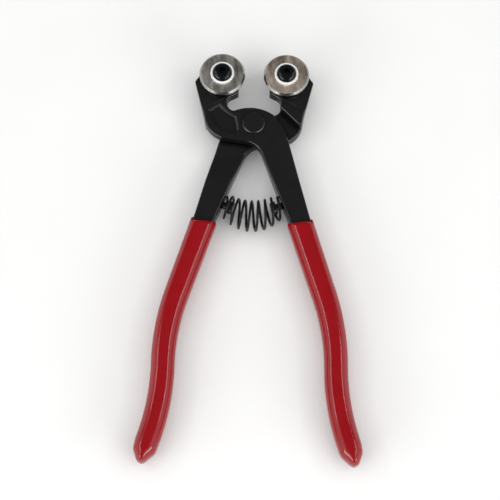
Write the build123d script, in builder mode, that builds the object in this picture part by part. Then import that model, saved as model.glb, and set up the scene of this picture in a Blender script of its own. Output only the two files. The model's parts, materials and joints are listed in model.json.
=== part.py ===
from build123d import *
import math
import os

# Wheeled mosaic nippers, lying flat and seen from the front (+Z). Millimetres.
# +Y points to the cutting wheels, +X to the right handle.
# Everything is modelled about the rivet axis and the plane where the two levers lap;
# save() lifts it so that the saved origin is the centre of the rivet's tail face.

# ---- driving dimensions ----
lap_thickness = 5.0           # each lever at the joint
lap_gap = 0.05                # play between the two lap faces
bar_thickness = 8.0           # each handle bar below the joint
cheek_depth = 1.5             # how far the front jaw reaches behind the lap plane
edge_round = 0.9              # rounding of the forged edges
pocket_depth = 1.2            # shield-shaped recess forged into the front lever
pocket_slope = 0.6            # how far its walls lean outwards

wheel_reach = 27.96           # rivet axis to wheel axis
wheel_splay = 32.8            # half angle between the two wheel axes, degrees
wheel_diameter = 21.5
wheel_thickness = 3.0
wheel_bevel_width = 0.8       # radial width of each rim bevel
wheel_land = 0.8              # flat left round the cutting edge
wheel_bore = 8.1

screw_diameter = 5.0          # M5 socket button head
screw_head_diameter = 9.2
screw_head_height = 2.5
screw_crown_diameter = 4.8    # flat round the socket
screw_head_bulge = 2.6        # radius of its rounded flank
screw_socket = 3.0            # across flats
screw_socket_depth = 1.7
thread_play = 0.02

sleeve_diameter = 8.0
sleeve_bore = 5.2
wheel_play = 0.1              # the sleeve is this much longer than the wheel
front_washer_diameter = 11.1
front_washer_thickness = 0.8
back_washer_diameter = 12.0
back_washer_thickness = 0.5

pad_height = 0.5              # raised seat under each wheel
pad_edge_reach = 17.4         # rivet axis to the edge of the seat
pad_angle = 28.5              # direction of that edge's normal from +Y, degrees
relief_reach = 14.5           # beyond this the back of the jaw ends at the lap plane
shoulder_reach = 14.85        # rivet axis to the shoulder of the jaw
shoulder_angle = 45.0         # direction of the shoulder's normal from +Y, degrees

rivet_diameter = 7.0
rivet_head_diameter = 10.7
rivet_head_height = 0.8
rivet_play = 0.1              # on the diameter, in the rear lever
pivot_washer_diameter = 12.0
pivot_washer_thickness = 0.6

coat_thickness = 1.1          # dipped plastic over the handle bars
dip_line = (22.0, -47.9)      # where the dip line crosses the right bar
dip_angle = 12.0              # tilt of the dip line, degrees

spring_end_reach = 42.0       # rivet axis to the coil axis at the bars
spring_sag = 3.0              # extra reach of the coil axis half way
spring_half_angle = 18.0      # from the symmetry plane to each end, degrees
spring_wire = 1.1
spring_turns = 8
spring_end_radius = 5.4       # mean coil radius next to the bars
spring_mid_radius = 6.9
spring_hook_radius = 2.4      # the end turns close onto the peg necks
peg_angle = 19.2              # direction of each peg root from -Y, degrees
peg_neck_diameter = 3.4
peg_neck_length = 3.0
peg_head_diameter = 6.2
peg_head_length = 2.3
peg_sink = 4.0                # pressed into the bar

# ---- derived levels ----
bar_half = bar_thickness / 2
pad_level = lap_thickness + pad_height
sleeve_bottom = pad_level + back_washer_thickness
sleeve_length = wheel_thickness + wheel_play
wheel_back = sleeve_bottom + wheel_play / 2
washer_level = sleeve_bottom + sleeve_length
head_level = washer_level + front_washer_thickness
rivet_tail_level = -lap_thickness - lap_gap - pivot_washer_thickness
lap_height = rivet_head_height - rivet_tail_level

# plan corners of the front lever that are rounded: x, y, radius
corner_rounds = [
    (-7.3, 15.4, 0.6),        # claw below the wheel
    (-9.6, 14.1, 1.2),
    (-9.4, 6.4, 2.0),         # lower end of the notch
    (9.3, 4.6, 4.0),
    (16.8, -9.8, 6.0),
    (26.8, -46.5, 12.0),
    (49.8, -156.6, 3.0),      # nose of the bar
    (47.8, -163.0, 1.4),
    (42.0, -158.0, 3.0),
    (16.6, -46.6, 12.0),
    (6.4, -21.2, 12.0),
    (-3.5, -9.2, 2.0),
    (-14.8, -7.6, 3.0),
    (-23.2, 2.6, 3.0),
    (-28.1, 22.9, 1.2),       # end of the jaw
    (-23.2, 29.0, 2.0),
    (-7.3, 26.5, 3.0),
]

LEFT = -1
RIGHT = 1
FRONT = 1                     # the lever nearest the viewer: left jaw, right handle
REAR = -1                     # the other lever: right jaw, left handle

os.makedirs("parts", exist_ok=True)


# ---- helpers ----
def wheel_axis(side):
    """Where the axis of the left or right wheel crosses the lap plane."""
    angle = math.radians(wheel_splay)
    return (side * wheel_reach * math.sin(angle), wheel_reach * math.cos(angle))


def facing(side, angle, reach):
    """Upright plane `reach` from the rivet, its normal leaning `angle` from +Y to one side."""
    turn = math.radians(angle)
    normal = Vector(side * math.sin(turn), math.cos(turn), 0)
    return Plane(origin=normal * reach, x_dir=(0, 0, 1), z_dir=normal)


def turned(outline, centre=(0, 0)):
    """Solid of revolution about an upright axis from (radius, height) corners."""
    x, y = centre
    with BuildPart() as solid:
        with BuildSketch(Plane(origin=(x, y, 0), x_dir=(1, 0, 0), z_dir=(0, -1, 0))):
            with BuildLine():
                Polyline(*outline, close=True)
            make_face()
        revolve(axis=Axis((x, y, 0), (0, 0, 1)))
    return solid.part


def ring(outer, inner, bottom, height, centre):
    """Flat ring or tube with an upright axis."""
    top = bottom + height
    corners = [(inner / 2, bottom), (outer / 2, bottom), (outer / 2, top), (inner / 2, top)]
    return turned(corners, centre)


def save(part, label):
    placed = Pos(0, 0, lap_height) * part
    placed.label = label
    export_step(placed, f"parts/{label}.step")


# ---- lever blanks ----
def lever_outline(level, hand):
    """Plan of one lever as a face at a height; the rear lever is the front one mirrored."""

    def at(x, y):
        return (hand * x, y)

    with BuildSketch(Plane.XY.offset(level)) as plan:
        with BuildLine():
            # seat of the wheel and the notch below it
            Line(at(-7.3, 26.5), at(-7.3, 15.4))
            Line(at(-7.3, 15.4), at(-9.6, 14.1))
            ThreePointArc(at(-9.6, 14.1), at(-12.6, 10.2), at(-9.4, 6.4))
            # round the joint to the outside of the handle bar
            ThreePointArc(at(-9.4, 6.4), at(0.0, 8.1), at(9.3, 4.6))
            ThreePointArc(at(9.3, 4.6), at(13.9, -2.2), at(16.8, -9.8))
            Line(at(16.8, -9.8), at(26.8, -46.5))
            outer = Line(at(26.8, -46.5), at(37.85, -81.8))
            bend_in = TangentArc(outer @ 1, at(43.2, -117.0), tangent=outer % 1)
            bend_out = TangentArc(bend_in @ 1, at(48.9, -152.3), tangent=bend_in % 1)
            # blunt nose at the end of the bar
            Line(bend_out @ 1, at(49.8, -156.6))
            Line(at(49.8, -156.6), at(47.8, -163.0))
            Line(at(47.8, -163.0), at(42.0, -158.0))
            Line(at(42.0, -158.0), at(40.0, -152.2))
            # inside of the bar back to the crotch
            inner = Line(at(16.6, -46.6), at(29.6, -85.8))
            waist_in = TangentArc(inner @ 1, at(34.8, -118.0), tangent=inner % 1)
            TangentArc(waist_in @ 1, at(40.0, -152.2), tangent=waist_in % 1)
            Line(at(16.6, -46.6), at(6.4, -21.2))
            crotch = Line(at(6.4, -21.2), at(3.9, -15.1))
            TangentArc(crotch @ 1, at(-3.5, -9.2), tangent=crotch % 1)
            # round the lower edge of the joint to the outside of the jaw
            Line(at(-3.5, -9.2), at(-14.8, -7.6))
            ThreePointArc(at(-14.8, -7.6), at(-20.7, -3.6), at(-23.2, 2.6))
            Line(at(-23.2, 2.6), at(-28.1, 22.9))
            # end of the jaw, hidden under the wheel
            Line(at(-28.1, 22.9), at(-23.2, 29.0))
            ThreePointArc(at(-23.2, 29.0), at(-15.0, 32.0), at(-7.3, 26.5))
        make_face()
        for x, y, radius in corner_rounds:
            corner = at(x, y)
            fillet(vertices().sort_by_distance((*corner, level))[0], radius)
    return plan.sketch


def lever_blank(hand):
    """Lap half of the joint and the handle bar, at their own levels."""
    with BuildPart() as blank:
        add(lever_outline(-lap_thickness, hand))
        extrude(amount=2 * lap_thickness)
        with BuildSketch(Plane.YZ):
            with BuildLine():
                Polyline(
                    (40, hand * lap_thickness),
                    (-14, hand * lap_thickness),
                    (-28, hand * bar_half),
                    (-170, hand * bar_half),
                    (-170, -hand * bar_half),
                    (-28, -hand * bar_half),
                    (-14, hand * lap_gap / 2),
                    (40, hand * lap_gap / 2),
                    close=True,
                )
            make_face()
            fillet(vertices().filter_by_position(Axis.X, -29, -13), 15)
        extrude(amount=70, both=True, mode=Mode.INTERSECT)
    return blank.part


def jaw_block(hand, bottom, top, whole):
    """The jaw beyond its shoulder between two levels; stops at the relief unless `whole`."""
    with BuildPart() as block:
        add(lever_outline(bottom, hand))
        extrude(amount=top - bottom)
        split(bisect_by=facing(-hand, shoulder_angle, shoulder_reach), keep=Keep.TOP)
        if not whole:
            split(bisect_by=facing(-hand, pad_angle, relief_reach), keep=Keep.BOTTOM)
    return block.part


def seat_pad(hand):
    """Raised, machined seat under the wheel."""
    with BuildPart() as pad:
        add(lever_outline(lap_thickness, hand))
        extrude(amount=pad_height)
        split(bisect_by=facing(-hand, pad_angle, pad_edge_reach), keep=Keep.TOP)
    return pad.part


def flank_plane(hand):
    """Sloping facet on the outside of the jaw, widening towards its end."""
    lower = Vector(-hand * 23.7, 6.5, lap_thickness)
    upper = Vector(-hand * 19.4, 22.0, lap_thickness)
    corner = Vector(-hand * 28.1, 22.9, 0.8)
    normal = (upper - lower).cross(corner - lower)
    if normal.Z < 0:
        normal = -normal
    return Plane(origin=upper, x_dir=upper - lower, z_dir=normal)


def bar_root(hand):
    """Where the spring peg enters the inner side of the bar, and the peg's direction."""
    turn = math.radians(peg_angle)
    inward = Vector(-hand * math.cos(turn), -math.sin(turn), 0)
    root = Vector(hand * spring_end_reach * math.sin(turn), -spring_end_reach * math.cos(turn), 0)
    return Plane(origin=root, x_dir=(0, 0, 1), z_dir=inward)


def rim_edges(side, lowest, furthest=40):
    """Outline edges of the part being built, on the front or back, beyond a height."""

    def on_rim(edge):
        middle = edge @ 0.5
        across = abs((edge % 0.5).X) > 0.99
        return side * middle.Z > lowest and middle.Y < furthest and not across

    return edges().filter_by(on_rim)


def cut_above(plane):
    """Takes away whatever stands in front of a plane."""
    with BuildSketch(plane) as waste:
        Rectangle(80, 80)
    extrude(waste.sketch, amount=12, mode=Mode.SUBTRACT)


def bore_lever(hand, rivet_bore):
    """Rivet hole, threaded wheel-screw hole and peg hole of one lever."""
    with Locations((0, 0, 0)):
        Cylinder(rivet_bore / 2, 4 * lap_thickness, mode=Mode.SUBTRACT)
    with Locations(wheel_axis(-hand)):
        Cylinder(screw_diameter / 2 + thread_play, 4 * lap_thickness, mode=Mode.SUBTRACT)
    with BuildSketch(bar_root(hand).offset(-peg_sink)) as peg_hole:
        Circle(peg_neck_diameter / 2)
    extrude(peg_hole.sketch, amount=peg_sink + peg_neck_length, mode=Mode.SUBTRACT)


# ---- levers ----
front_blank = lever_blank(FRONT)
front_cheek = jaw_block(FRONT, -cheek_depth, lap_gap / 2, whole=False)
front_pad = seat_pad(FRONT)

with BuildPart() as front_lever:
    add(front_blank)
    add(front_cheek)
    fillet(rim_edges(1, bar_half - 0.1), edge_round)
    fillet(rim_edges(-1, 0.1, -14), edge_round)
    add(front_pad)
    cut_above(flank_plane(FRONT))
    with BuildSketch(Plane.XY.offset(lap_thickness)):
        with BuildLine():
            Line((-16.3, 8.8), (-20.3, 6.0))
            ThreePointArc((-20.3, 6.0), (-17.6, -0.9), (-10.6, -5.3))
            ThreePointArc((-10.6, -5.3), (-8.6, -5.2), (-7.8, -3.3))
            Line((-7.8, -3.3), (-9.0, 3.0))
            ThreePointArc((-9.0, 3.0), (-12.6, 5.2), (-16.3, 8.8))
        make_face()
    extrude(amount=-pocket_depth, mode=Mode.SUBTRACT)
    pocket_rim = edges(Select.LAST).group_by(Axis.Z)[-1]
    chamfer(pocket_rim, pocket_depth - 0.1, pocket_slope)
    bore_lever(FRONT, rivet_diameter)
save(front_lever.part, "front_lever")

rear_blank = lever_blank(REAR)
rear_jaw = jaw_block(REAR, -lap_gap, lap_thickness, whole=True)
rear_pad = seat_pad(REAR)

with BuildPart() as rear_lever:
    add(rear_blank)
    add(rear_jaw)
    fillet(rim_edges(1, 0.1), edge_round)
    fillet(rim_edges(-1, bar_half - 0.1), edge_round)
    add(rear_pad)
    cut_above(flank_plane(REAR))
    with BuildSketch(facing(RIGHT, pad_angle, relief_reach)):
        with Locations((-lap_thickness, 0)):
            Rectangle(2 * lap_thickness, 80)
    extrude(amount=30, mode=Mode.SUBTRACT)
    bore_lever(REAR, rivet_diameter + rivet_play)
save(rear_lever.part, "rear_lever")


# ---- joint ----
def pivot_rivet():
    """Rivet with a low front head and a peened tail behind the washer."""
    shank = rivet_diameter / 2
    head = rivet_head_diameter / 2
    top = lap_thickness + rivet_head_height
    bottom = rivet_tail_level - rivet_head_height
    corners = [
        (0, bottom),
        (head - 1.4, bottom),
        (head - 0.4, rivet_tail_level),
        (shank, rivet_tail_level),
        (shank, lap_thickness),
        (head, lap_thickness),
        (head, top - 0.5),
        (head - 0.5, top),
        (0, top),
    ]
    return turned(corners)


save(pivot_rivet(), "pivot_rivet")
save(
    ring(pivot_washer_diameter, rivet_diameter, rivet_tail_level, pivot_washer_thickness, (0, 0)),
    "pivot_washer",
)


# ---- wheels and their fastening ----
def cutting_wheel(side):
    """Disc with a double-bevelled rim, ground flat on both faces."""
    rim = wheel_diameter / 2
    face = rim - wheel_bevel_width
    middle = wheel_back + wheel_thickness / 2
    front = wheel_back + wheel_thickness
    corners = [
        (wheel_bore / 2, wheel_back),
        (face, wheel_back),
        (rim, middle - wheel_land / 2),
        (rim, middle + wheel_land / 2),
        (face, front),
        (wheel_bore / 2, front),
    ]
    return turned(corners, wheel_axis(side))


def wheel_screw(side):
    """Button-head screw with a hex socket, threaded into the jaw."""
    x, y = wheel_axis(side)
    shank = screw_diameter / 2
    crown = (screw_crown_diameter / 2, head_level + screw_head_height)
    with BuildPart() as screw:
        with BuildSketch(Plane(origin=(x, y, 0), x_dir=(1, 0, 0), z_dir=(0, -1, 0))):
            with BuildLine():
                rim = (screw_head_diameter / 2, head_level + 0.4)
                Polyline((0, crown[1]), (0, 0.4), (shank - 0.4, 0.4), (shank, 0.8))
                Polyline((shank, 0.8), (shank, head_level), (rim[0], head_level), rim)
                RadiusArc(rim, crown, -screw_head_bulge)
                Line(crown, (0, crown[1]))
            make_face()
        revolve(axis=Axis((x, y, 0), (0, 0, 1)))
        with BuildSketch(Plane.XY.offset(crown[1])):
            with Locations((x, y)):
                RegularPolygon(screw_socket / 2, 6, major_radius=False)
        extrude(amount=-screw_socket_depth, mode=Mode.SUBTRACT)
    return screw.part


for side, word in ((LEFT, "left"), (RIGHT, "right")):
    centre = wheel_axis(side)
    save(cutting_wheel(side), f"{word}_cutting_wheel")
    save(wheel_screw(side), f"{word}_wheel_screw")
    save(
        ring(back_washer_diameter, sleeve_bore, pad_level, back_washer_thickness, centre),
        f"{word}_back_washer",
    )
    save(
        ring(sleeve_diameter, sleeve_bore, sleeve_bottom, sleeve_length, centre),
        f"{word}_wheel_sleeve",
    )
    save(
        ring(front_washer_diameter, sleeve_bore, washer_level, front_washer_thickness, centre),
        f"{word}_front_washer",
    )


# ---- spring ----
def spring_peg(hand):
    """Mushroom stud pressed into the inner side of a bar."""
    root = bar_root(hand)
    inner_end = root.offset(-peg_sink)
    with BuildPart() as peg:
        with BuildSketch(inner_end):
            Circle(peg_neck_diameter / 2)
        extrude(amount=peg_sink + peg_neck_length)
        with BuildSketch(root.offset(peg_neck_length)):
            Circle(peg_head_diameter / 2)
        extrude(amount=peg_head_length)
        tip = faces().sort_by(Axis(root.origin, root.z_dir))[-1]
        chamfer(tip.edges(), 0.5)
    return peg.part


save(spring_peg(REAR), "left_spring_peg")
save(spring_peg(FRONT), "right_spring_peg")


def coil_point(progress):
    """Point on the wire's centre line; progress runs from 0 at the left bar to 1 at the right."""
    angle = math.radians(spring_half_angle) * (2 * progress - 1)
    middle = math.sin(math.pi * progress)
    reach = spring_end_reach + spring_sag * middle
    full = spring_end_radius + (spring_mid_radius - spring_end_radius) * middle
    turns_from_end = spring_turns * min(progress, 1 - progress)
    closing = min(turns_from_end / 0.75, 1.0)
    radius = spring_hook_radius + (full - spring_hook_radius) * closing
    phase = math.pi + 2 * math.pi * spring_turns * progress
    distance = reach + radius * math.cos(phase)
    return (distance * math.sin(angle), -distance * math.cos(angle), radius * math.sin(phase))


steps = 16 * spring_turns
with BuildPart() as return_spring:
    with BuildLine():
        wire = Spline(*[coil_point(step / steps) for step in range(steps + 1)])
    with BuildSketch(Plane(origin=wire @ 0, z_dir=wire % 0)):
        Circle(spring_wire / 2)
    sweep(path=wire)
save(return_spring.part, "return_spring")


# ---- grips ----
def grip(hand, bar):
    """Dipped plastic sleeve, cut back to the dip line and hollow where the bar sits."""
    lean = math.radians(dip_angle)
    down = Vector(hand * math.sin(lean), -math.cos(lean), 0)
    cut = Plane(origin=(hand * dip_line[0], dip_line[1], 0), x_dir=(0, 0, 1), z_dir=down)
    with BuildPart() as sleeve:
        with BuildSketch(Plane.XY.offset(-bar_half - coat_thickness)):
            add(lever_outline(0, hand))
            with Locations((0, dip_line[1] - 60)):
                Rectangle(120, 140, mode=Mode.INTERSECT)
            offset(amount=coat_thickness, kind=Kind.ARC)
        extrude(amount=bar_thickness + 2 * coat_thickness)
        split(bisect_by=cut, keep=Keep.TOP)
        ends = faces().sort_by(Axis.Z)
        fillet(ends[0].edges() + ends[-1].edges(), 3.0)
        add(bar, mode=Mode.SUBTRACT)
    return sleeve.part


save(grip(FRONT, front_lever.part), "right_grip")
save(grip(REAR, rear_lever.part), "left_grip")
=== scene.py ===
import json
import math

import bpy
from mathutils import Matrix, Vector
from mathutils.bvhtree import BVHTree


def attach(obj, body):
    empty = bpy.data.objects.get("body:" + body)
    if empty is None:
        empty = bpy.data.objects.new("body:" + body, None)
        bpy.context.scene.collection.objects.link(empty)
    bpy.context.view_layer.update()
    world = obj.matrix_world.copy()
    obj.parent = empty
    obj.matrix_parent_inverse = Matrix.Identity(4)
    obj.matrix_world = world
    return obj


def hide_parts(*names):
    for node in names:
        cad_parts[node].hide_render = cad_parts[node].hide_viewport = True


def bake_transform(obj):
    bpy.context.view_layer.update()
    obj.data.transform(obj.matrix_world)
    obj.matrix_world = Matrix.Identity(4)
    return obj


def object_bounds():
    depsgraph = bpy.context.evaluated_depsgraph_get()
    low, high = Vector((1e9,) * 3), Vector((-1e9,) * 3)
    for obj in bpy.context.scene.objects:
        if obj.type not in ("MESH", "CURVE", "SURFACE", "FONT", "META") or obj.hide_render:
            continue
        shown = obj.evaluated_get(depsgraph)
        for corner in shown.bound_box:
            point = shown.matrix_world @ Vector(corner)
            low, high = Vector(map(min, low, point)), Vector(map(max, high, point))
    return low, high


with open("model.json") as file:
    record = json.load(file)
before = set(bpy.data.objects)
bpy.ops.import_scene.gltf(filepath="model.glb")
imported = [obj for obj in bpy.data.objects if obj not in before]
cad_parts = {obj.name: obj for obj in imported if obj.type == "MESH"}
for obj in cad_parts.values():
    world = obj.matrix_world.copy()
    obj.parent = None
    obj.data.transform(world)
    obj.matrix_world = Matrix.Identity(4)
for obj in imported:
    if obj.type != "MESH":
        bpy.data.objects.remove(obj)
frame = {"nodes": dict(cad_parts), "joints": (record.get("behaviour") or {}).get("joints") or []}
cad_low, cad_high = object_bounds()
nodes = frame["nodes"]
pivot = Vector(frame["joints"][0]["pos_m"])
scene = bpy.context.scene

MM = 0.001

# ---- camera ----
CAMERA_AIM = Vector((-0.63, -61.75, 0.0)) * MM   # from the pivot
CAMERA_DISTANCE = 900 * MM
CAMERA_TILT = 20.5            # degrees from straight above, towards the grips
CAMERA_ROLL = 1.0
LENS = 140.8                  # on a 36 mm wide sensor

# ---- studio light ----
DARK_SIDE = (0, 0.71, 0.71)    # the room is dark above and behind the tool
DARK_SIDE_SPAN = (0.44, 0.68)  # cosines of the angles where that darkness starts and is full
FRONT_GAP_SPAN = (0.38, 0.65)  # sideways lean of a direction over which the room turns bright
ROOM_COLOUR = (1.0, 1.0, 1.0)
DARK_COLOUR = (0.09, 0.09, 0.095)
LIGHT_DISTANCE = 1.2

# ---- return spring: stands for the CAD coil, in slightly thicker wire and with wider end turns ----
SPRING_REACH = 42.0 * MM      # pivot to the coil axis at the bars
SPRING_SAG = 3.0 * MM
SPRING_HALF_ANGLE = 18.0
SPRING_TURNS = 8
SPRING_WIRE = 1.2 * MM
SPRING_END_RADIUS = 5.4 * MM
SPRING_MIDDLE_RADIUS = 6.9 * MM
SPRING_HOOK_RADIUS = 4.5 * MM
POINTS_PER_TURN = 24

# ---- dipped grips ----
GRIP_VOXEL = 0.5 * MM
GRIP_RELAXING = 16            # smoothing passes
GRIP_SWELL = 0.12 * MM        # given back after the smoothing has drawn the skin in
GRIP_RISE = 0.12              # share of the half thickness added along the middle
GRIP_FALL = 0.42              # share the faces fall away from there to the sides
GRIP_CLEAR = 60 * MM          # sideways distance that is outside the grip for certain
DIP_TILT = 12.0
DIP_WAVE = 0.2 * MM
DIP_FADE = 6 * MM


# ---- finishes ----
class Finish:
    """A node material being put together. Sizes are in metres."""

    def __init__(self, name, metallic=0.0, roughness=0.5):
        self.material = bpy.data.materials.new(name)
        self.material.use_nodes = True
        self.tree = self.material.node_tree
        self.surface = self.tree.nodes["Principled BSDF"]
        self.surface.inputs["Metallic"].default_value = metallic
        self.surface.inputs["Roughness"].default_value = roughness
        self.place = self.add("ShaderNodeTexCoord").outputs["Object"]
        self.relief = None

    def add(self, kind, **settings):
        node = self.tree.nodes.new(kind)
        for name, value in settings.items():
            setattr(node, name, value)
        return node

    def link(self, source, target):
        if hasattr(source, "is_linked"):
            self.tree.links.new(source, target)
        else:
            target.default_value = source

    def noise(self, size, detail=3.0, stretch=(1, 1, 1), turn=0.0):
        """Cloudy 0 to 1 pattern with features of about this size, drawn out along an axis."""
        mapping = self.add("ShaderNodeMapping")
        mapping.inputs["Rotation"].default_value = (0, 0, math.radians(turn))
        mapping.inputs["Scale"].default_value = [1 / (size * axis) for axis in stretch]
        self.link(self.place, mapping.inputs["Vector"])
        noise = self.add("ShaderNodeTexNoise")
        noise.inputs["Scale"].default_value = 1.0
        noise.inputs["Detail"].default_value = detail
        self.link(mapping.outputs["Vector"], noise.inputs["Vector"])
        return noise.outputs["Fac"]

    def span(self, pattern, low, high, start=0.3, end=0.7):
        """Maps a pattern between two values as it goes from start to end."""
        node = self.add("ShaderNodeMapRange")
        node.inputs["From Min"].default_value = start
        node.inputs["From Max"].default_value = end
        node.inputs["To Min"].default_value = low
        node.inputs["To Max"].default_value = high
        self.link(pattern, node.inputs["Value"])
        return node.outputs["Result"]

    def math(self, operation, first, second=0.0):
        node = self.add("ShaderNodeMath", operation=operation)
        self.link(first, node.inputs[0])
        self.link(second, node.inputs[1])
        return node.outputs[0]

    def blend(self, share, low, high):
        """Colour between two colours."""
        node = self.add("ShaderNodeMix", data_type="RGBA")
        self.link(share, node.inputs["Factor"])
        for socket, colour in ((node.inputs[6], low), (node.inputs[7], high)):
            self.link(colour if hasattr(colour, "is_linked") else (*colour, 1), socket)
        return node.outputs[2]

    def colour(self, value):
        self.link(value, self.surface.inputs["Base Color"])

    def roughness(self, value):
        self.link(value, self.surface.inputs["Roughness"])

    def soften_edges(self, radius):
        """Shades sharp edges as if they were rounded to this radius."""
        self.relief = self.add("ShaderNodeBevel", samples=6).outputs["Normal"]
        self.relief.node.inputs["Radius"].default_value = radius
        self.link(self.relief, self.surface.inputs["Normal"])

    def bump(self, pattern, depth):
        """Raises the surface by up to this depth where the pattern is bright."""
        node = self.add("ShaderNodeBump")
        node.inputs["Distance"].default_value = depth
        self.link(pattern, node.inputs["Height"])
        if self.relief is not None:
            self.link(self.relief, node.inputs["Normal"])
        self.relief = node.outputs["Normal"]
        self.link(self.relief, self.surface.inputs["Normal"])

    def steepness(self):
        """0 on faces square to the pivot axis, 1 on walls along it."""
        parts = self.add("ShaderNodeSeparateXYZ")
        self.link(self.add("ShaderNodeNewGeometry").outputs["True Normal"], parts.inputs[0])
        return self.math("SUBTRACT", 1.0, self.math("ABSOLUTE", parts.outputs["Z"]))


def black_paint():
    """Semi-gloss enamel over a forging: faint orange peel, with painted shade darkening the inner corners.
    """
    paint = Finish("black_paint_finish")
    skin = paint.blend(paint.noise(9 * MM), (0.0060, 0.0057, 0.0062), (0.0090, 0.0086, 0.0092))
    # painted shade: ambient occlusion turns the base colour near black in inner corners and crevices, where
    # shade falls
    painted_corner_shade = paint.add("ShaderNodeAmbientOcclusion", samples=8)
    painted_corner_shade.inputs["Distance"].default_value = 2.5 * MM
    openness = paint.span(painted_corner_shade.outputs["AO"], 0, 1, 0.35, 0.95)
    paint.colour(paint.blend(openness, (0.0004, 0.0004, 0.0004), skin))
    paint.roughness(paint.span(paint.noise(3 * MM, 4), 0.13, 0.21))
    shine = paint.span(paint.steepness(), 0.5, 0.12, 0.5, 0.9)
    paint.link(shine, paint.surface.inputs["Specular IOR Level"])
    paint.soften_edges(0.4 * MM)
    paint.bump(paint.noise(1.1 * MM, 2), 0.012 * MM)
    paint.bump(paint.noise(0.25 * MM, 2), 0.003 * MM)
    return paint.material


def satin_paint():
    """Paint on the turned rivet, a little duller than on the levers."""
    paint = Finish("rivet_finish")
    paint.colour(paint.blend(paint.noise(2 * MM), (0.0045, 0.0043, 0.0046), (0.0070, 0.0067, 0.0071)))
    paint.roughness(paint.span(paint.noise(1.5 * MM, 4), 0.28, 0.42))
    paint.soften_edges(0.25 * MM)
    paint.bump(paint.noise(0.5 * MM, 3), 0.008 * MM)
    return paint.material


def wheel_steel(name, dull, clean, turn):
    """Ground cutter steel: straight grinding marks, handling stains and a polished rim bevel."""
    steel = Finish(name, metallic=1.0)
    lines = steel.noise(0.5 * MM, 3, stretch=(0.28, 9, 1), turn=turn)
    stains = steel.noise(4.5 * MM, 5, stretch=(0.7, 1.6, 1), turn=turn)
    mottle = steel.noise(1.2 * MM, 4)
    share = steel.math("ADD", steel.math("MULTIPLY", stains, 0.7), steel.math("MULTIPLY", mottle, 0.3))
    ground = steel.blend(steel.span(share, 0, 1, 0.38, 0.62), dull, clean)
    ground = steel.blend(steel.span(lines, 0, 0.75, 0.45, 0.72), ground, (0.84, 0.78, 0.70))
    bevel = steel.math("GREATER_THAN", steel.steepness(), 0.1)
    steel.colour(steel.blend(bevel, ground, (0.34, 0.335, 0.325)))
    rough = steel.span(stains, 0.46, 0.60)
    smooth = steel.span(mottle, 0.16, 0.24)
    either = steel.add("ShaderNodeMix", data_type="FLOAT")
    steel.link(bevel, either.inputs["Factor"])
    steel.link(rough, either.inputs[2])
    steel.link(smooth, either.inputs[3])
    steel.roughness(either.outputs[0])
    steel.soften_edges(0.08 * MM)
    steel.bump(lines, 0.012 * MM)
    return steel.material


def white_washer():
    """White friction washer: pale, satin, with faint scuffs."""
    washer = Finish("washer_finish")
    washer.colour(washer.blend(washer.noise(1.4 * MM, 4), (0.70, 0.70, 0.69), (0.80, 0.80, 0.79)))
    washer.roughness(washer.span(washer.noise(0.8 * MM, 4), 0.30, 0.45))
    washer.soften_edges(0.12 * MM)
    washer.bump(washer.noise(0.4 * MM, 3), 0.004 * MM)
    return washer.material


def zinc_plate():
    """Bright zinc on the turned sleeve and back washer."""
    zinc = Finish("zinc_finish", metallic=1.0)
    zinc.colour(zinc.blend(zinc.noise(1.5 * MM, 4), (0.62, 0.62, 0.63), (0.78, 0.78, 0.77)))
    zinc.roughness(zinc.span(zinc.noise(0.6 * MM, 4), 0.22, 0.36))
    zinc.soften_edges(0.1 * MM)
    zinc.bump(zinc.noise(0.3 * MM, 3, stretch=(1, 1, 0.2)), 0.004 * MM)
    return zinc.material


def black_oxide():
    """Oiled black-oxide screw, dull on its steep flank."""
    oxide = Finish("screw_finish")
    shine = oxide.span(oxide.steepness(), 0.30, 0.0, 0.30, 0.85)
    oxide.link(shine, oxide.surface.inputs["Specular IOR Level"])
    oxide.colour(oxide.blend(oxide.noise(1.2 * MM, 4), (0.0020, 0.0021, 0.0028), (0.0045, 0.0048, 0.0062)))
    oxide.roughness(oxide.span(oxide.noise(0.7 * MM, 4), 0.16, 0.28))
    oxide.soften_edges(0.12 * MM)
    oxide.bump(oxide.noise(0.35 * MM, 3), 0.004 * MM)
    return oxide.material


def spring_wire():
    """Drawn wire, blackened, with die marks along it."""
    wire = Finish("wire_finish")
    wire.surface.inputs["Specular IOR Level"].default_value = 0.3
    wire.colour(wire.blend(wire.noise(1.0 * MM, 3), (0.0015, 0.0015, 0.0016), (0.0035, 0.0034, 0.0033)))
    wire.roughness(wire.span(wire.noise(0.5 * MM, 3), 0.26, 0.42))
    wire.bump(wire.noise(0.2 * MM, 3), 0.004 * MM)
    return wire.material


def red_vinyl():
    """Dip-moulded vinyl: glossy, faintly rippled, a little deeper in colour in places."""
    vinyl = Finish("vinyl_finish")
    vinyl.colour(vinyl.blend(vinyl.noise(14 * MM, 3), (0.200, 0.0012, 0.0036), (0.240, 0.0022, 0.0052)))
    vinyl.roughness(vinyl.span(vinyl.noise(5 * MM, 4), 0.11, 0.18))
    vinyl.bump(vinyl.noise(4.5 * MM, 2), 0.05 * MM)
    vinyl.bump(vinyl.noise(0.7 * MM, 2), 0.004 * MM)
    return vinyl.material


def pale_paper():
    """Plain pale sheet with the faintest tooth."""
    paper = Finish("paper_finish", roughness=0.85)
    paper.colour(paper.blend(paper.noise(40 * MM, 3), (0.70, 0.70, 0.69), (0.73, 0.73, 0.725)))
    paper.bump(paper.noise(0.6 * MM, 3), 0.01 * MM)
    return paper.material


def paint_cad(finish, *names):
    for name in names:
        nodes[name].data.materials.clear()
        nodes[name].data.materials.append(finish)


# ---- pieces that stand for soft or springy nodes ----
def show(name, mesh, finish):
    """New object with one finish and smooth shading."""
    mesh.materials.clear()
    mesh.materials.append(finish)
    mesh.shade_smooth()
    piece = bpy.data.objects.new(name, mesh)
    scene.collection.objects.link(piece)
    return piece


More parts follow.
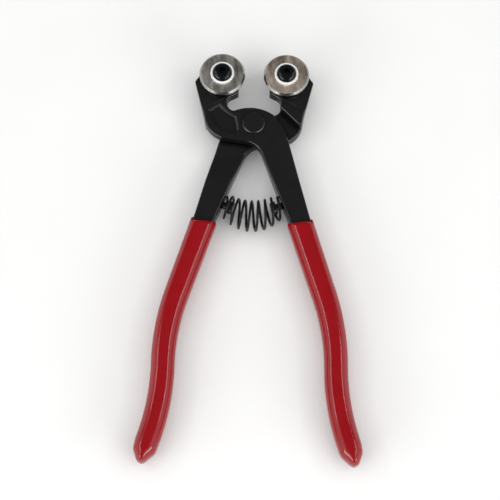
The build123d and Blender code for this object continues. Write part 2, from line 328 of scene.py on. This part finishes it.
def evaluated_mesh(source):
    """Mesh of an object with its modifiers and bevels applied; the object is removed."""
    bpy.context.view_layer.update()
    graph = bpy.context.evaluated_depsgraph_get()
    mesh = bpy.data.meshes.new_from_object(source.evaluated_get(graph))
    bpy.data.objects.remove(source)
    return mesh


def relaxed_copy(name):
    """The node's solid remeshed finely, crowned and smoothed, as liquid vinyl settles over a bar."""
    rough = bpy.data.objects.new(f"{name}_rough", nodes[name].data.copy())
    scene.collection.objects.link(rough)
    remesh = rough.modifiers.new("remesh", "REMESH")
    remesh.mode = "VOXEL"
    remesh.voxel_size = GRIP_VOXEL
    mesh = evaluated_mesh(rough)
    crown_faces(mesh)
    crowned = bpy.data.objects.new(f"{name}_crowned", mesh)
    scene.collection.objects.link(crowned)
    relax = crowned.modifiers.new("relax", "SMOOTH")
    relax.factor = 0.5
    relax.iterations = GRIP_RELAXING
    swell = crowned.modifiers.new("swell", "DISPLACE")
    swell.mid_level = 0
    swell.strength = GRIP_SWELL
    return evaluated_mesh(crowned)


def crown_faces(mesh):
    """Rounds the broad faces across the width, highest along the middle of the bar."""
    skin = BVHTree.FromPolygons(
        [vertex.co.copy() for vertex in mesh.vertices],
        [polygon.vertices[:] for polygon in mesh.polygons],
    )
    centre = sum(vertex.co.z for vertex in mesh.vertices) / len(mesh.vertices)
    aside = Vector((GRIP_CLEAR, 0, 0))
    for vertex in mesh.vertices:
        middle = Vector((vertex.co.x, vertex.co.y, centre))
        left = skin.ray_cast(middle - aside, aside)[0]
        right = skin.ray_cast(middle + aside, -aside)[0]
        if left and right:
            lean = (2 * vertex.co.x - left.x - right.x) / max(right.x - left.x, GRIP_VOXEL)
            vertex.co.z += (vertex.co.z - centre) * (GRIP_RISE - GRIP_FALL * min(lean * lean, 1))


def ripple_dip_line(mesh, hand):
    """Waves the open end of a coat a little, where the dip stopped."""
    tilt = math.radians(DIP_TILT)
    down = Vector((hand * math.sin(tilt), -math.cos(tilt), 0))
    across = Vector((down.y, -down.x, 0))
    top = min(vertex.co.dot(down) for vertex in mesh.vertices)
    for vertex in mesh.vertices:
        fade = 1 - (vertex.co.dot(down) - top) / DIP_FADE
        if fade > 0:
            along = vertex.co.dot(across) / (9 * MM)
            height = vertex.co.z / (5 * MM)
            wave = math.sin(2 * math.pi * along + 0.8 + hand) + 0.5 * math.cos(height)
            vertex.co += down * (DIP_WAVE * wave * fade * fade)


def vinyl_coat(side, hand, body, finish):
    mesh = relaxed_copy(f"{side}_grip")
    ripple_dip_line(mesh, hand)
    coat = show(f"{side}_vinyl_coat", mesh, finish)
    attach(coat, body)
    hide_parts(f"{side}_grip")


def coil_point(progress):
    """Centre of the wire in the frame; progress runs from 0 at the left bar to 1 at the right."""
    angle = math.radians(SPRING_HALF_ANGLE) * (2 * progress - 1)
    middle = math.sin(math.pi * progress)
    reach = SPRING_REACH + SPRING_SAG * middle
    full = SPRING_END_RADIUS + (SPRING_MIDDLE_RADIUS - SPRING_END_RADIUS) * middle
    closing = min(SPRING_TURNS * min(progress, 1 - progress) / 0.75, 1.0)
    radius = SPRING_HOOK_RADIUS + (full - SPRING_HOOK_RADIUS) * closing
    phase = math.pi + 2 * math.pi * SPRING_TURNS * progress
    distance = reach + radius * math.cos(phase)
    from_pivot = Vector((distance * math.sin(angle), -distance * math.cos(angle), radius * math.sin(phase)))
    return pivot + from_pivot


def coil_mesh():
    """Round wire swept along the coil."""
    curve = bpy.data.curves.new("coil_path", "CURVE")
    curve.dimensions = "3D"
    curve.bevel_depth = SPRING_WIRE / 2
    curve.bevel_resolution = 3
    curve.use_fill_caps = True
    count = POINTS_PER_TURN * SPRING_TURNS
    spline = curve.splines.new("POLY")
    spline.points.add(count)
    for step, point in enumerate(spline.points):
        point.co = (*coil_point(step / count), 1)
    path = bpy.data.objects.new("coil_path", curve)
    scene.collection.objects.link(path)
    return evaluated_mesh(path)


def return_spring(finish):
    spring = show("coil_spring", coil_mesh(), finish)
    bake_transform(spring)
    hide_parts("return_spring")


# ---- studio ----
def floor():
    """Plain sheet under the tool, at the height of its lowest point."""
    mesh = bpy.data.meshes.new("floor")
    half = 3.0
    painted_corner_shade = [(-half, -half), (half, -half), (half, half), (-half, half)]
    mesh.from_pydata([(x, y, cad_low.z) for x, y in painted_corner_shade], [], [(0, 1, 2, 3)])
    mesh.materials.append(pale_paper())
    sheet = bpy.data.objects.new("floor", mesh)
    scene.collection.objects.link(sheet)


def softbox(name, azimuth, elevation, size, power):
    """Area light aimed at the joint; azimuth turns from -Y towards +X, in degrees."""
    light = bpy.data.lights.new(name, "AREA")
    light.shape = "RECTANGLE"
    light.size, light.size_y = size
    light.energy = power
    lamp = bpy.data.objects.new(name, light)
    turn, rise = math.radians(azimuth), math.radians(elevation)
    away = Vector((math.sin(turn) * math.cos(rise), -math.cos(turn) * math.cos(rise), math.sin(rise)))
    lamp.location = pivot + away * LIGHT_DISTANCE
    lamp.rotation_mode = "QUATERNION"
    lamp.rotation_quaternion = away.to_track_quat("Z", "Y")
    scene.collection.objects.link(lamp)
    return lamp


def surroundings():
    """Room that is bright at both sides and dark overhead, behind and straight in front."""
    world = bpy.data.worlds.new("studio")
    world.use_nodes = True
    tree = world.node_tree
    place = tree.nodes.new("ShaderNodeTexCoord")
    towards = tree.nodes.new("ShaderNodeVectorMath")
    towards.operation = "DOT_PRODUCT"
    towards.inputs[1].default_value = DARK_SIDE
    tree.links.new(place.outputs["Generated"], towards.inputs[0])
    parts = tree.nodes.new("ShaderNodeSeparateXYZ")
    tree.links.new(place.outputs["Generated"], parts.inputs[0])
    sideways = tree.nodes.new("ShaderNodeMath")
    sideways.operation = "ABSOLUTE"
    tree.links.new(parts.outputs["X"], sideways.inputs[0])

    share = tree.nodes.new("ShaderNodeMath")
    share.operation = "MULTIPLY"
    for term, value, span, ends in (
        (0, towards.outputs["Value"], DARK_SIDE_SPAN, (1, 0)),
        (1, sideways.outputs[0], FRONT_GAP_SPAN, (0, 1)),
    ):
        fade = tree.nodes.new("ShaderNodeMapRange")
        for socket, level in zip(fade.inputs[1:5], (*span, *ends)):
            socket.default_value = level
        tree.links.new(value, fade.inputs["Value"])
        tree.links.new(fade.outputs["Result"], share.inputs[term])

    tone = tree.nodes.new("ShaderNodeMix")
    tone.data_type = "RGBA"
    tone.inputs[6].default_value = (*DARK_COLOUR, 1)
    tone.inputs[7].default_value = (*ROOM_COLOUR, 1)
    tree.links.new(share.outputs[0], tone.inputs["Factor"])
    tree.links.new(tone.outputs[2], tree.nodes["Background"].inputs["Color"])
    scene.world = world


def camera():
    tilt, roll = math.radians(CAMERA_TILT), math.radians(CAMERA_ROLL)
    back = Vector((0, -math.sin(tilt), math.cos(tilt)))
    level_up = Vector((0, math.cos(tilt), math.sin(tilt)))
    across = Vector((1, 0, 0))
    right = math.cos(roll) * across + math.sin(roll) * level_up
    up = math.cos(roll) * level_up - math.sin(roll) * across
    data = bpy.data.cameras.new("camera")
    data.sensor_width = 36
    data.lens = LENS
    data.clip_start, data.clip_end = 0.05, 20
    view = bpy.data.objects.new("camera", data)
    view.matrix_world = Matrix.Translation(pivot + CAMERA_AIM + back * CAMERA_DISTANCE) @ Matrix(
        (right, up, back)
    ).transposed().to_4x4()
    scene.collection.objects.link(view)
    scene.camera = view


# ---- putting it together ----
paint_cad(black_paint(), "front_lever", "rear_lever", "left_spring_peg", "right_spring_peg")
paint_cad(satin_paint(), "pivot_rivet", "pivot_washer")
left_steel = wheel_steel("left_wheel_finish", (0.28, 0.27, 0.24), (0.76, 0.73, 0.66), turn=24)
paint_cad(left_steel, "left_cutting_wheel")
right_steel = wheel_steel("right_wheel_finish", (0.46, 0.33, 0.23), (1.0, 0.88, 0.73), turn=-38)
paint_cad(right_steel, "right_cutting_wheel")
paint_cad(white_washer(), "left_front_washer", "right_front_washer")
paint_cad(
    zinc_plate(),
    "left_back_washer",
    "right_back_washer",
    "left_wheel_sleeve",
    "right_wheel_sleeve",
)
paint_cad(black_oxide(), "left_wheel_screw", "right_wheel_screw")

vinyl = red_vinyl()
vinyl_coat("left", -1, "rear_lever", vinyl)
vinyl_coat("right", 1, "front_lever", vinyl)
return_spring(spring_wire())

floor()
surroundings()
for side, hand in (("left", -1), ("right", 1)):
    softbox(f"{side}_softbox", hand * 50, elevation=17, size=(1.0, 0.3), power=6.5)
    softbox(f"{side}_strip", hand * 100, elevation=42, size=(0.4, 0.15), power=1.1)
fill = softbox("overhead_fill", 0, elevation=88, size=(3.0, 3.0), power=31)
fill.visible_glossy = False
camera()
scene.view_settings.view_transform = "Standard"
